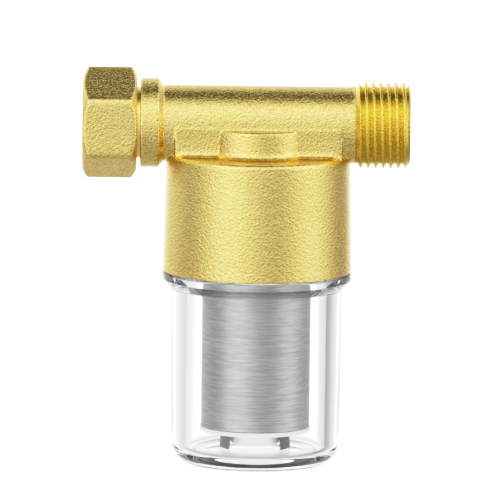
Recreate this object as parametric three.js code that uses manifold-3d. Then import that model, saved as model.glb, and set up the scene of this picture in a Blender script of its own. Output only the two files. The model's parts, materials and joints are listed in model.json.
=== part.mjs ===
// In-line system filter for a heating circuit: a cast brass head with a union nut on its
// inlet, a G1/2 male thread on its outlet, and a clear screw-on bowl below that holds a
// strainer with a magnetic core. Millimetres, +Z up.
// Frame: the origin is the centre of the bowl's flat base, the outlet points along +X.
// Inside the assembly group, heights are measured from the pipe axis, so z is negative below it.
import * as THREE from 'three';
import { mergeVertices } from 'three/addons/utils/BufferGeometryUtils.js';
import Module from 'manifold-3d';

const wasm = await Module();
wasm.setup();

// ---------------------------------------------------------------- driving dimensions
const PIPE_AXIS_HEIGHT = 82.8;      // pipe axis above the bowl's base
const SEG_BODY = 32;                // facets round the bowl axis
const SEG_STRAINER = 32;            // facets round the strainer's parts
const SEG_PIPE = 24;                // facets round the pipe axis
const SEG_CORE = 16;                // facets round the magnets and pole pieces

// pipe run, along X
const TUBE_R = 9.2;
const TUBE_X0 = -22.9;
const TUBE_X1 = 23.4;
const COLLAR_R = 10.8;
const COLLAR_X0 = -28.6;
const COLLAR_X1 = -24.2;
const NECK_R = 8.6;                 // turned neck that carries the union nut
const NECK_X0 = -36.0;
const NECK_GROOVE_R = 7.9;
const NECK_GROOVE_X0 = -34.5;
const NECK_GROOVE_X1 = -32.7;
const INLET_BORE_R = 6.0;
const INLET_BORE_END = -12.8;
const OUTLET_BORE_R = 7.0;
const OUTLET_BORE_START = -5.0;

// G1/2 pipe thread
const G_PITCH = 1.814;
const G_MAJOR_R = 20.955 / 2;
const G_MINOR_R = 18.631 / 2;
const OUTLET_X0 = 23.6;
const OUTLET_X1 = 36.7;

// web and boss between the pipe and the cup
const WEB_HALF_X = 20.2;
const WEB_HALF_Y = 9.25;
const BOSS_R = 13.1;
const BOSS_TOP = -0.5;
const SHOULDER = -7.1;

// cup
const CUP_TOP_R = 22.3;
const CUP_RIM_R = 22.94;
const CUP_RIM = -35.8;
const CUP_CEILING = -11.5;
const CAVITY_R = 17.0;
const SEAL_FACE = -23.4;
const CENTRE_BORE_R = 10.6;
const CENTRE_BORE_TOP = -2.3;
const CHANNEL_X0 = -17.0;
const CHANNEL_X1 = -12.8;
const CHANNEL_HALF_Y = 5.5;

// bowl screw thread
const B_PITCH = 2.5;
const B_MALE_MINOR_R = 19.2;
const B_MALE_MAJOR_R = 20.3;
const B_CLEARANCE = 0.3;

// bowl
const BOWL_NECK_TOP = -25.2;
const FLANGE_TOP = -36.1;
const FLANGE_R = 22.95;
const FLANGE_BAND_END = -37.75;
const FLANGE_CHAMFER_END = -39.9;
const BOWL_R_TOP = 20.95;
const BOWL_R_LOW = 20.45;
const BOWL_CORNER_TOP = -76.8;
const BOWL_BASE_R = 15.8;
const BOWL_INNER_R = 16.5;
const BOWL_FLOOR = -78.5;
const BOWL_FLOOR_FILLET = 1.2;
const BOWL_BASE = -PIPE_AXIS_HEIGHT;

// union nut
const NUT_X0 = -42.6;
const NUT_X1 = -29.4;
const NUT_ACROSS_FLATS = 24;
const NUT_CORNER_R = 13.65;
const NUT_LIP_X0 = -32.6;
const NUT_LIP_R = 8.9;
const NUT_RELIEF_X0 = -35.0;
const NUT_RELIEF_R = 10.6;

// strainer
const MESH_R = 13.2;
const MESH_WALL = 0.5;
const MESH_TOP = -13.35;
const MESH_BOTTOM = -73.5;
const CAP_R = 13.5;
const CAP_TOP = -73.6;
const CAP_UNDERSIDE = -74.7;
const CAP_SPIGOT_R = 6.0;
const CAP_SPIGOT_BOTTOM = -77.85;
const FERRITE_FLAT = 6.2;           // flat inner face of each ferrite block
const FERRITE_R_TOP = 8.35;
const FERRITE_R_LOW = 8.55;
const FERRITE_TOP = -74.85;
const FERRITE_BOTTOM = -78.35;

// magnetic core
const SHEATH_R = 4.5;
const SHEATH_WALL = 0.5;
const SHEATH_TOP = -31.6;
const SHEATH_BOTTOM = -73.3;
const DISC_R = 3.75;
const MAGNET_LENGTH = 8.0;
const POLE_LENGTH = 2.0;

// ---------------------------------------------------------------- helpers
// Keeps position only, joins coincident vertices, drops collapsed triangles and makes the
// faces point outwards.
function clean(geometry) {
  const source = geometry.clone();
  for (const name of Object.keys(source.attributes)) {
    if (name !== 'position') source.deleteAttribute(name);
  }
  const merged = mergeVertices(source, 1e-4);
  const p = merged.attributes.position;
  const index = merged.index.array;
  const kept = [];
  for (let i = 0; i < index.length; i += 3) {
    const [a, b, c] = [index[i], index[i + 1], index[i + 2]];
    if (a !== b && b !== c && c !== a) kept.push(a, b, c);
  }
  const va = new THREE.Vector3();
  const vb = new THREE.Vector3();
  const vc = new THREE.Vector3();
  let volume = 0;
  for (let i = 0; i < kept.length; i += 3) {
    va.fromBufferAttribute(p, kept[i]);
    vb.fromBufferAttribute(p, kept[i + 1]);
    vc.fromBufferAttribute(p, kept[i + 2]);
    volume += va.dot(vb.cross(vc));
  }
  if (volume < 0) {
    for (let i = 0; i < kept.length; i += 3) {
      const t = kept[i + 1];
      kept[i + 1] = kept[i + 2];
      kept[i + 2] = t;
    }
  }
  const out = new THREE.BufferGeometry();
  out.setAttribute('position', new THREE.BufferAttribute(new Float32Array(p.array), 3));
  out.setIndex(kept);
  return out;
}

function solid(geometry) {
  const g = clean(geometry);
  return new wasm.Manifold(new wasm.Mesh({
    numProp: 3,
    vertProperties: new Float32Array(g.attributes.position.array),
    triVerts: new Uint32Array(g.index.array),
  }));
}

function geometryOf(manifold) {
  const mesh = manifold.getMesh();
  const g = new THREE.BufferGeometry();
  g.setAttribute('position', new THREE.BufferAttribute(new Float32Array(mesh.vertProperties), 3));
  g.setIndex(new THREE.BufferAttribute(new Uint32Array(mesh.triVerts), 1));
  return g;
}

// Turned shape. Profile points are [radius, distance along the axis].
function turned(profile, segments, axis = 'z') {
  const g = new THREE.LatheGeometry(profile.map(([r, h]) => new THREE.Vector2(r, h)), segments);
  if (axis === 'z') g.rotateX(Math.PI / 2);
  else g.rotateZ(-Math.PI / 2);
  return g;
}

// Closes a ring-shaped profile on itself, for a shape with a hole through it.
const ring = (profile, segments, axis = 'z') => turned([...profile, profile[0]], segments, axis);

const rod = (r, a, b, segments, axis = 'z') =>
  turned([[0, a], [r, a], [r, b], [0, b]], segments, axis);

function block(x0, x1, y0, y1, z0, z1) {
  const g = new THREE.BoxGeometry(x1 - x0, y1 - y0, z1 - z0);
  g.translate((x0 + x1) / 2, (y0 + y1) / 2, (z0 + z1) / 2);
  return g;
}

// Right-hand threaded rod along +Z. profile holds [fraction of the pitch, radius] rows.
function threadedRod(pitch, profile, start, end, segments) {
  const rows = profile.length;
  const turns = Math.ceil((end - start) / pitch) + 2;
  const n = turns * rows;
  const z0 = start - pitch;
  const positions = [];
  for (let i = 0; i <= n; i += 1) {
    const [fraction, r] = profile[i % rows];
    const base = z0 + (Math.floor(i / rows) + fraction) * pitch;
    for (let j = 0; j < segments; j += 1) {
      const t = (j / segments) * 2 * Math.PI;
      positions.push(r * Math.cos(t), r * Math.sin(t), base + (pitch * j) / segments);
    }
  }
  const at = (i, j) => (j < segments ? i * segments + j : (i + rows) * segments + (j - segments));
  const index = [];
  const quad = (a, b, c, d) => index.push(a, b, c, a, c, d);
  for (let i = 0; i < n; i += 1) {
    for (let j = 0; j < segments; j += 1) {
      if (j === segments - 1 && i + 1 + rows > n) continue;
      quad(at(i, j), at(i, j + 1), at(i + 1, j + 1), at(i + 1, j));
    }
  }
  const low = positions.length / 3;
  positions.push(0, 0, z0 - 2 * pitch);
  const high = low + 1;
  positions.push(0, 0, z0 + (turns + 3) * pitch);
  const lowLoop = [];
  for (let j = 0; j < segments; j += 1) lowLoop.push(at(0, j));
  for (let i = rows; i > 0; i -= 1) lowLoop.push(at(i, 0));
  const highLoop = [];
  for (let j = 0; j < segments; j += 1) highLoop.push(at(n, j));
  for (let i = n - 1; i >= n - rows; i -= 1) highLoop.push(at(i, segments - 1));
  for (let k = 0; k < lowLoop.length; k += 1) {
    index.push(low, lowLoop[(k + 1) % lowLoop.length], lowLoop[k]);
  }
  for (let k = 0; k < highLoop.length; k += 1) {
    index.push(high, highLoop[k], highLoop[(k + 1) % highLoop.length]);
  }
  const g = new THREE.BufferGeometry();
  g.setAttribute('position', new THREE.BufferAttribute(new Float32Array(positions), 3));
  g.setIndex(index);
  return g;
}

// A closed section swept round an arc of the Z axis; section points are [radius, z].
function sweptArc(section, a0, a1, steps) {
  const shape = new THREE.Shape(section.map(([r, z]) => new THREE.Vector2(r, z)));
  const flat = new THREE.ExtrudeGeometry(shape, { depth: 1, steps, bevelEnabled: false });
  const p = flat.attributes.position;
  for (let i = 0; i < p.count; i += 1) {
    const r = p.getX(i);
    const z = p.getY(i);
    const t = a0 + (a1 - a0) * p.getZ(i);
    p.setXYZ(i, r * Math.cos(t), r * Math.sin(t), z);
  }
  return flat;
}

const circle = (cr, cz, r, n) =>
  Array.from({ length: n }, (_, i) => {
    const t = (i / n) * 2 * Math.PI;
    return [cr + r * Math.cos(t), cz + r * Math.sin(t)];
  });

const material = (color, roughness, metalness, extra = {}) =>
  new THREE.MeshStandardMaterial({ color, roughness, metalness, ...extra });

const brassCast = material(0xd9bd72, 0.42, 1.0);
const brassNut = material(0xd4b76e, 0.38, 1.0);
const springSteel = material(0xb9bcc0, 0.3, 1.0);
const fibre = material(0x3c4146, 0.8, 0.0);
const clear = material(0xe6ecf2, 0.05, 0.0, { transparent: true, opacity: 0.3 });
const elastomer = material(0x1b1c1e, 0.55, 0.0);
const white = material(0xf1f1ef, 0.35, 0.0);
const steelMesh = material(0xb2b5b8, 0.35, 1.0);
const stainless = material(0xc2c5c8, 0.25, 1.0);
const ferrite = material(0x5d6064, 0.55, 0.1);
const nickel = material(0xcfd0ce, 0.2, 1.0);
const poleSteel = material(0x8d9094, 0.4, 1.0);

const assembly = new THREE.Group();
assembly.position.set(0, 0, PIPE_AXIS_HEIGHT);

function piece(name, geometry, mat, parent) {
  const mesh = new THREE.Mesh(clean(geometry), mat);
  mesh.name = name;
  parent.add(mesh);
  return mesh;
}

// ---------------------------------------------------------------- cast head
const gProfile = (grow) => [
  [0.0, G_MINOR_R + grow], [0.13, G_MINOR_R + grow], [0.5, G_MAJOR_R + grow], [0.63, G_MAJOR_R + grow],
];
const bProfile = (grow) => [[0.0, B_MALE_MINOR_R - 0.1 + grow], [0.5, B_MALE_MAJOR_R + grow]];

const outletThread = solid(threadedRod(G_PITCH, gProfile(0), OUTLET_X0 - 1, OUTLET_X1 + 1, SEG_PIPE).rotateY(Math.PI / 2))
  .intersect(solid(turned([
    [0, OUTLET_X0 - 1.2], [G_MINOR_R, OUTLET_X0 - 1.2], [G_MINOR_R, OUTLET_X0 - 0.2], [G_MAJOR_R, OUTLET_X0 + 0.9],
    [G_MAJOR_R + 0.3, OUTLET_X0 + 1.2], [G_MAJOR_R + 0.3, OUTLET_X1 - 1.4], [G_MINOR_R, OUTLET_X1], [0, OUTLET_X1],
  ], SEG_PIPE, 'x')));

const pipeRun = solid(turned([
  [0, NECK_X0], [NECK_R - 0.4, NECK_X0], [NECK_R, NECK_X0 + 0.4], [NECK_R, NECK_GROOVE_X0], [NECK_GROOVE_R, NECK_GROOVE_X0],
  [NECK_GROOVE_R, NECK_GROOVE_X1], [NECK_R, NECK_GROOVE_X1], [NECK_R, COLLAR_X0], [COLLAR_R - 0.4, COLLAR_X0],
  [COLLAR_R, COLLAR_X0 + 0.4], [COLLAR_R, COLLAR_X1], [TUBE_R, TUBE_X0], [TUBE_R, TUBE_X1 - 0.4],
  [TUBE_R - 0.4, TUBE_X1], [G_MINOR_R - 0.3, TUBE_X1], [G_MINOR_R - 0.3, OUTLET_X0 + 1], [0, OUTLET_X0 + 1],
], SEG_PIPE, 'x'));

const web = solid(block(-WEB_HALF_X, WEB_HALF_X, -WEB_HALF_Y, WEB_HALF_Y, SHOULDER - 1, 0));
const boss = solid(turned([
  [0, SHOULDER - 1], [BOSS_R + 0.25, SHOULDER - 1], [BOSS_R + 0.25, SHOULDER], [BOSS_R, BOSS_TOP - 0.4],
  [BOSS_R - 0.4, BOSS_TOP], [0, BOSS_TOP],
], SEG_BODY));
const cup = solid(turned([
  [0, SHOULDER], [CUP_TOP_R - 0.6, SHOULDER], [CUP_TOP_R - 0.17, SHOULDER - 0.17], [CUP_TOP_R, SHOULDER - 0.6],
  [CUP_RIM_R, CUP_RIM], [0, CUP_RIM],
], SEG_BODY));

const inletBore = solid(rod(INLET_BORE_R, NECK_X0 - 1, INLET_BORE_END, SEG_PIPE, 'x'));
const outletBore = solid(rod(OUTLET_BORE_R, OUTLET_BORE_START, OUTLET_X1 + 1, SEG_PIPE, 'x'));
const channel = solid(block(CHANNEL_X0, CHANNEL_X1, -CHANNEL_HALF_Y, CHANNEL_HALF_Y, CUP_CEILING - 0.5, 0));
const centreBore = solid(rod(CENTRE_BORE_R, CUP_CEILING - 0.5, CENTRE_BORE_TOP, SEG_BODY));
const cavity = solid(turned([
  [0, CUP_CEILING], [CAVITY_R - 1, CUP_CEILING], [CAVITY_R, CUP_CEILING - 1], [CAVITY_R, SEAL_FACE],
  [B_MALE_MINOR_R + B_CLEARANCE, SEAL_FACE], [B_MALE_MINOR_R + B_CLEARANCE, CUP_RIM + 1.6],
  [B_MALE_MAJOR_R + B_CLEARANCE + 0.2, CUP_RIM + 0.5], [B_MALE_MAJOR_R + B_CLEARANCE + 0.2, CUP_RIM - 1], [0, CUP_RIM - 1],
], SEG_BODY));
const cupThread = solid(threadedRod(B_PITCH, bProfile(B_CLEARANCE), -40, -20, SEG_BODY))
  .intersect(solid(turned([
    [0, CUP_RIM - 1], [B_MALE_MAJOR_R + 2, CUP_RIM - 1], [B_MALE_MAJOR_R + 2, SEAL_FACE - 1.6],
    [B_MALE_MINOR_R, SEAL_FACE - 0.4], [0, SEAL_FACE - 0.4],
  ], SEG_BODY)));

const head = pipeRun.add(outletThread).add(web).add(boss).add(cup)
  .subtract(inletBore).subtract(outletBore).subtract(channel).subtract(centreBore)
  .subtract(cavity).subtract(cupThread);

piece('body_casting', geometryOf(head), brassCast, assembly);

// Split wire ring in the neck's groove; it holds the nut on. The opening faces down.
const wire = sweptArc(circle(8.75, 0, 0.72, 8), 0.2, 2 * Math.PI - 0.2, 28).rotateY(Math.PI / 2);
wire.translate(-33.6, 0, 0);
piece('nut_snap_ring', wire, springSteel, assembly);

piece('inlet_gasket', ring([[6.2, -36.2], [6.2, -38.1], [9.05, -38.1], [9.05, -36.2]], SEG_PIPE, 'x'), fibre, assembly);

// ---------------------------------------------------------------- union nut
const hexagon = new THREE.CylinderGeometry(
  NUT_ACROSS_FLATS / Math.sqrt(3), NUT_ACROSS_FLATS / Math.sqrt(3), NUT_X1 - NUT_X0, 6);
hexagon.rotateZ(-Math.PI / 2);
hexagon.translate((NUT_X0 + NUT_X1) / 2, 0, 0);
const nutEnvelope = turned([
  [0, NUT_X0], [NUT_ACROSS_FLATS / 2 - 0.4, NUT_X0], [NUT_CORNER_R, NUT_X0 + 1.15], [NUT_CORNER_R, NUT_X1 - 1.15],
  [NUT_ACROSS_FLATS / 2 - 0.4, NUT_X1], [0, NUT_X1],
], 48, 'x');
const nutBore = turned([
  [0, NUT_X0 - 1], [G_MAJOR_R + 0.35, NUT_X0 - 1], [G_MAJOR_R + 0.35, NUT_X0 + 0.3], [G_MINOR_R, NUT_X0 + 1.4],
  [G_MINOR_R, NUT_RELIEF_X0], [NUT_RELIEF_R, NUT_RELIEF_X0], [NUT_RELIEF_R, NUT_LIP_X0],
  [NUT_LIP_R, NUT_LIP_X0], [NUT_LIP_R, NUT_X1 - 0.4], [NUT_LIP_R + 0.4, NUT_X1], [NUT_LIP_R + 0.4, NUT_X1 + 1], [0, NUT_X1 + 1],
], SEG_PIPE, 'x');
const nutThread = solid(threadedRod(G_PITCH, [[0.0, G_MINOR_R - 0.1], [0.5, G_MAJOR_R]], NUT_X0 - 1, NUT_RELIEF_X0 + 1, SEG_PIPE).rotateY(Math.PI / 2))
  .intersect(solid(rod(G_MAJOR_R + 1, NUT_X0 - 1, NUT_RELIEF_X0 + 0.5, SEG_PIPE, 'x')));
piece('swivel_nut',
  geometryOf(solid(hexagon).intersect(solid(nutEnvelope)).subtract(solid(nutBore)).subtract(nutThread)),
  brassNut, assembly);

// ---------------------------------------------------------------- strainer
const strainer = new THREE.Group();
assembly.add(strainer);

piece('strainer_top_collar', ring([
  [7.8, -7.5], [9.9, -7.5], [10.3, -7.9], [10.3, -9.0], [8.9, -9.0], [8.9, -10.9], [10.3, -10.9], [10.3, -11.8],
  [13.6, -11.8], [13.6, -13.2], [12.5, -13.2], [12.5, -15.5], [10.8, -15.5], [7.8, -13.2],
], SEG_STRAINER), white, strainer);

piece('strainer_collar_oring', ring(circle(9.75, -9.95, 0.75, 8), SEG_STRAINER), elastomer, strainer);

piece('strainer_mesh', ring([
  [MESH_R - MESH_WALL, MESH_BOTTOM], [MESH_R, MESH_BOTTOM], [MESH_R, MESH_TOP], [MESH_R - MESH_WALL, MESH_TOP],
], SEG_STRAINER), steelMesh, strainer);

// Moulded cage that keeps the mesh round: rings joined by six ribs.
let cage = null;
for (const z of [-16.9, -31.0, -45.0, -59.0, -73.0]) {
  const hoop = solid(ring([[11.1, z - 0.5], [12.45, z - 0.5], [12.45, z + 0.5], [11.1, z + 0.5]], 24));
  cage = cage ? cage.add(hoop) : hoop;
}
for (let k = 0; k < 6; k += 1) {
  const rib = block(11.2, 12.3, -0.8, 0.8, -73.3, -16.6);
  rib.rotateZ((k * Math.PI) / 3 + Math.PI / 6);
  cage = cage.add(solid(rib));
}
piece('strainer_support_cage', geometryOf(cage), white, strainer);

// End cap with the spigot that centres the magnet segments and the socket for the core.
piece('strainer_bottom_cap', turned([
  [0, CAP_TOP], [4.75, CAP_TOP], [4.75, -71.4], [5.7, -71.4], [5.7, CAP_TOP], [CAP_R, CAP_TOP],
  [CAP_R, CAP_UNDERSIDE + 0.55], [CAP_R - 0.2, CAP_UNDERSIDE + 0.2], [CAP_R - 0.7, CAP_UNDERSIDE],
  [CAP_SPIGOT_R, CAP_UNDERSIDE], [CAP_SPIGOT_R, CAP_SPIGOT_BOTTOM + 0.9], [CAP_SPIGOT_R - 0.3, CAP_SPIGOT_BOTTOM + 0.27],
  [CAP_SPIGOT_R - 0.95, CAP_SPIGOT_BOTTOM], [0, CAP_SPIGOT_BOTTOM],
], SEG_STRAINER), white, strainer);

// Two magnet blocks, one each side of the spigot: flat inside, round outside.
for (const [name, side] of [['ferrite_segment_right', 1], ['ferrite_segment_left', -1]]) {
  const round = solid(turned([
    [0, FERRITE_BOTTOM], [FERRITE_R_LOW, FERRITE_BOTTOM], [FERRITE_R_TOP, FERRITE_TOP], [0, FERRITE_TOP],
  ], 48));
  const half = block(FERRITE_FLAT, 12, -10, 10, FERRITE_BOTTOM - 1, FERRITE_TOP + 1);
  if (side < 0) half.rotateZ(Math.PI);
  piece(name, geometryOf(round.intersect(solid(half))), ferrite, strainer);
}

piece('magnet_sheath', turned([
  [SHEATH_R - SHEATH_WALL, SHEATH_BOTTOM], [SHEATH_R, SHEATH_BOTTOM], [SHEATH_R, SHEATH_TOP - 1],
  [SHEATH_R - 0.3, SHEATH_TOP - 0.3], [SHEATH_R - 1, SHEATH_TOP], [0, SHEATH_TOP], [0, SHEATH_TOP - 0.6],
  [SHEATH_R - SHEATH_WALL, SHEATH_TOP - 0.6], [SHEATH_R - SHEATH_WALL, SHEATH_BOTTOM],
], SEG_PIPE), stainless, strainer);

let top = SHEATH_TOP - 0.8;
for (let k = 1; k <= 4; k += 1) {
  piece(`magnet_${k}`, rod(DISC_R, top - MAGNET_LENGTH, top, SEG_CORE), nickel, strainer);
  top -= MAGNET_LENGTH + 0.1;
  if (k < 4) {
    piece(`pole_piece_${k}`, rod(DISC_R, top - POLE_LENGTH, top, SEG_CORE), poleSteel, strainer);
    top -= POLE_LENGTH + 0.1;
  }
}
piece('magnet_plug', rod(DISC_R, SHEATH_BOTTOM, top, SEG_CORE), white, strainer);

// ---------------------------------------------------------------- bowl
const bowlGroup = new THREE.Group();
assembly.add(bowlGroup);

const corner = [];
for (let k = 0; k <= 6; k += 1) {
  const t = (k / 6) * (Math.PI / 2);
  corner.push([
    BOWL_BASE_R + (BOWL_R_LOW - BOWL_BASE_R) * Math.cos(t),
    BOWL_CORNER_TOP - (BOWL_CORNER_TOP - BOWL_BASE) * Math.sin(t),
  ]);
}
const innerCorner = [];
for (let k = 0; k <= 4; k += 1) {
  const t = (k / 4) * (Math.PI / 2);
  innerCorner.push([
    BOWL_INNER_R - BOWL_FLOOR_FILLET * (1 - Math.sin(t)),
    BOWL_FLOOR + BOWL_FLOOR_FILLET * (1 - Math.cos(t)),
  ]);
}
const bowlWall = solid(turned([
  [0, BOWL_FLOOR], ...innerCorner, [BOWL_INNER_R, BOWL_NECK_TOP], [B_MALE_MINOR_R - 0.4, BOWL_NECK_TOP],
  [B_MALE_MINOR_R, BOWL_NECK_TOP - 0.4], [B_MALE_MINOR_R, FLANGE_TOP], [FLANGE_R - 0.25, FLANGE_TOP],
  [FLANGE_R, FLANGE_TOP - 0.25], [FLANGE_R, FLANGE_BAND_END], [BOWL_R_TOP + 0.35, FLANGE_CHAMFER_END + 0.35],
  [BOWL_R_TOP, FLANGE_CHAMFER_END - 0.35], ...corner, [0, BOWL_BASE],
], SEG_BODY));
const bowlThread = solid(threadedRod(B_PITCH, bProfile(0), -40, -20, SEG_BODY))
  .intersect(solid(ring([
    [B_MALE_MINOR_R - 0.8, -34.9], [B_MALE_MINOR_R - 0.1, -34.9], [B_MALE_MAJOR_R + 0.2, -33.9],
    [B_MALE_MAJOR_R + 0.2, BOWL_NECK_TOP - 1.3], [B_MALE_MINOR_R - 0.1, BOWL_NECK_TOP - 0.5],
    [B_MALE_MINOR_R - 0.8, BOWL_NECK_TOP - 0.5],
  ], SEG_BODY)));
piece('bowl', geometryOf(bowlWall.add(bowlThread)), clear, bowlGroup);

piece('bowl_oring', ring(circle(18.0, (SEAL_FACE + BOWL_NECK_TOP) / 2, 0.8, 8), SEG_BODY), elastomer, bowlGroup);

const part = new THREE.Group();
part.add(assembly);
export default part;
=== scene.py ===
"""Visual model of an in-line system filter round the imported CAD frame. Everything is in metres
in the frame's own axes; shapes are worked out in millimetres with heights from the pipe axis."""
import json
import math

import bmesh
import bpy
import numpy as np
from mathutils import Matrix, Vector


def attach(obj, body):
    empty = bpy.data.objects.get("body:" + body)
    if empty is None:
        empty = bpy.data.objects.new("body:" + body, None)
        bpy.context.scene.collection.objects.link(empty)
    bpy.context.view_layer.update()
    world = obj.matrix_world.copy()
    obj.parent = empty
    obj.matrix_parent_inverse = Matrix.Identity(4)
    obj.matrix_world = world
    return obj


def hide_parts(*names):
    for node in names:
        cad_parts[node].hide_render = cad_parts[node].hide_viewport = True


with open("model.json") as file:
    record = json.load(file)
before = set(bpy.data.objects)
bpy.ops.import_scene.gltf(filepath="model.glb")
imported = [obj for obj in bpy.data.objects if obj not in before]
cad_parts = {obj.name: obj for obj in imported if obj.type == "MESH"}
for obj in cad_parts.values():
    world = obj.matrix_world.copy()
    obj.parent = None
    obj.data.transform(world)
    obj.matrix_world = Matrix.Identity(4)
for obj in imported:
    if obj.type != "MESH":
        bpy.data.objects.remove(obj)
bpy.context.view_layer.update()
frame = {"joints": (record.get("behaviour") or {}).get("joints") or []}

MM = 0.001
PIPE_Z = next(j for j in frame["joints"] if j["name"] == "nut_spin")["pos_m"][2]
BASE = -PIPE_Z / MM          # height of the bowl's base, measured from the pipe axis

# ------------------------------------------------------------------ dimensions (mm)
TUBE_R, TUBE_X1 = 9.2, 23.4
COLLAR_R, COLLAR_X0, COLLAR_X1, TUBE_X0 = 10.8, -28.6, -24.2, -22.9
NECK_R, NECK_X0 = 8.6, -36.0
G_PITCH, G_MAJOR, G_MINOR = 1.814, 20.955 / 2, 18.631 / 2
OUT_X0, OUT_X1 = 23.6, 36.7
SHOULDER, CUP_RIM = -7.1, -35.8
B_PITCH, B_MINOR, B_MAJOR, B_GAP = 2.5, 19.2, 20.3, 0.3
NUT_X0, NUT_X1 = -42.6, -29.4


# ------------------------------------------------------------------ mesh helpers
def new_object(name, verts, faces, smooth=32.0, mm=True):
    """A mesh object from millimetre points; they become metres in the row frame."""
    me = bpy.data.meshes.new(name)
    v = np.asarray(verts, float)
    if mm:
        v = v * MM + np.array([0.0, 0.0, PIPE_Z])
    me.from_pydata(v.tolist(), [], [tuple(int(i) for i in f) for f in faces])
    me.validate()
    me.update()
    finish_shading(me, smooth)
    o = bpy.data.objects.new(name, me)
    bpy.context.scene.collection.objects.link(o)
    return o


def finish_shading(me, smooth):
    me.polygons.foreach_set("use_smooth", [True] * len(me.polygons))
    if smooth < 180:
        me.set_sharp_from_angle(angle=math.radians(smooth))


def raw(verts, faces):
    return np.asarray(verts, float), [tuple(int(i) for i in f) for f in faces]


def signed_volume(verts, faces):
    total = 0.0
    for f in faces:
        a = verts[f[0]]
        for i in range(1, len(f) - 1):
            total += np.dot(a, np.cross(verts[f[i]], verts[f[i + 1]]))
    return total


def outward(verts, faces):
    if signed_volume(verts, faces) < 0:
        faces = [tuple(reversed(f)) for f in faces]
    return verts, faces


def turned(profile, n=128, axis="z", closed=False):
    """Revolved [radius, along] profile. Open profiles start and end on the axis."""
    pts = [(float(r), float(h)) for r, h in profile]
    verts, rows = [], []
    for r, h in pts:
        if r < 1e-9:
            rows.append([len(verts)])
            verts.append((0.0, 0.0, h))
        else:
            base = len(verts)
            rows.append(list(range(base, base + n)))
            for j in range(n):
                t = 2 * math.pi * j / n
                verts.append((r * math.cos(t), r * math.sin(t), h))
    faces = []
    pairs = list(zip(rows, rows[1:]))
    if closed:
        pairs.append((rows[-1], rows[0]))
    for a, b in pairs:
        for j in range(n):
            k = (j + 1) % n
            if len(a) == 1 and len(b) == 1:
                continue
            if len(a) == 1:
                faces.append((a[0], b[k], b[j]))
            elif len(b) == 1:
                faces.append((a[j], a[k], b[0]))
            else:
                faces.append((a[j], a[k], b[k], b[j]))
    v = np.array(verts)
    if axis == "x":
        v = v[:, [2, 0, 1]]
    return outward(v, faces)


def rounded(points, closed=False, steps=5):
    """Rounds the corners of a profile. Each point is (r, h) or (r, h, radius)."""
    out = []
    n = len(points)
    for i, p in enumerate(points):
        radius = p[2] if len(p) > 2 else 0.0
        if radius <= 0 or (not closed and i in (0, n - 1)):
            out.append((p[0], p[1]))
            continue
        a = np.array(points[(i - 1) % n][:2], float)
        b = np.array(p[:2], float)
        c = np.array(points[(i + 1) % n][:2], float)
        u = (a - b) / np.linalg.norm(a - b)
        w = (c - b) / np.linalg.norm(c - b)
        cosang = float(np.clip(np.dot(u, w), -1, 1))
        half = math.acos(cosang) / 2
        cut = min(radius / math.tan(half), 0.49 * np.linalg.norm(a - b), 0.49 * np.linalg.norm(c - b))
        r = cut * math.tan(half)
        p0, p1 = b + u * cut, b + w * cut
        centre = b + (u + w) / np.linalg.norm(u + w) * (r / math.sin(half))
        a0 = math.atan2(*(p0 - centre)[::-1])
        a1 = math.atan2(*(p1 - centre)[::-1])
        d = (a1 - a0 + math.pi) % (2 * math.pi) - math.pi
        for k in range(steps + 1):
            t = a0 + d * k / steps
            out.append((centre[0] + r * math.cos(t), centre[1] + r * math.sin(t)))
    return out


def swept_arc(section, a0, a1, steps):
    """Closed [radius, z] section carried round part of the z axis, with end caps."""
    m = len(section)
    verts, faces = [], []
    for i in range(steps + 1):
        t = a0 + (a1 - a0) * i / steps
        for r, z in section:
            verts.append((r * math.cos(t), r * math.sin(t), z))
    for i in range(steps):
        for j in range(m):
            k = (j + 1) % m
            faces.append((i * m + j, i * m + k, (i + 1) * m + k, (i + 1) * m + j))
    faces.append(tuple(reversed(range(m))))
    faces.append(tuple(range(steps * m, steps * m + m)))
    return outward(np.array(verts), faces)


def threaded_rod(pitch, rows, start, end, n, axis="z"):
    """Right-hand thread. rows are (fraction of the pitch, radius)."""
    m = len(rows)
    turns = int(math.ceil((end - start) / pitch)) + 2
    last = turns * m
    z0 = start - pitch
    t = np.arange(n) / n
    verts = []
    for i in range(last + 1):
        frac, r = rows[i % m]
        base = z0 + (i // m + frac) * pitch
        verts.append(np.stack([r * np.cos(2 * np.pi * t), r * np.sin(2 * np.pi * t), base + pitch * t], 1))
    verts = np.concatenate(verts).tolist()

    def at(i, j):
        return i * n + j if j < n else (i + m) * n + (j - n)

    faces = []
    for i in range(last):
        for j in range(n):
            if j == n - 1 and i + 1 + m > last:
                continue
            faces.append((at(i, j), at(i, j + 1), at(i + 1, j + 1), at(i + 1, j)))
    low, high = len(verts), len(verts) + 1
    verts.append((0, 0, z0 - 2 * pitch))
    verts.append((0, 0, z0 + (turns + 3) * pitch))
    ll = [at(0, j) for j in range(n)] + [at(i, 0) for i in range(m, 0, -1)]
    hl = [at(last, j) for j in range(n)] + [at(i, n - 1) for i in range(last - 1, last - m - 1, -1)]
    for k in range(len(ll)):
        faces.append((low, ll[(k + 1) % len(ll)], ll[k]))
    for k in range(len(hl)):
        faces.append((high, hl[k], hl[(k + 1) % len(hl)]))
    v = np.array(verts, float)
    if axis == "x":
        v = v[:, [2, 0, 1]]
    return outward(v, faces)


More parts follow.
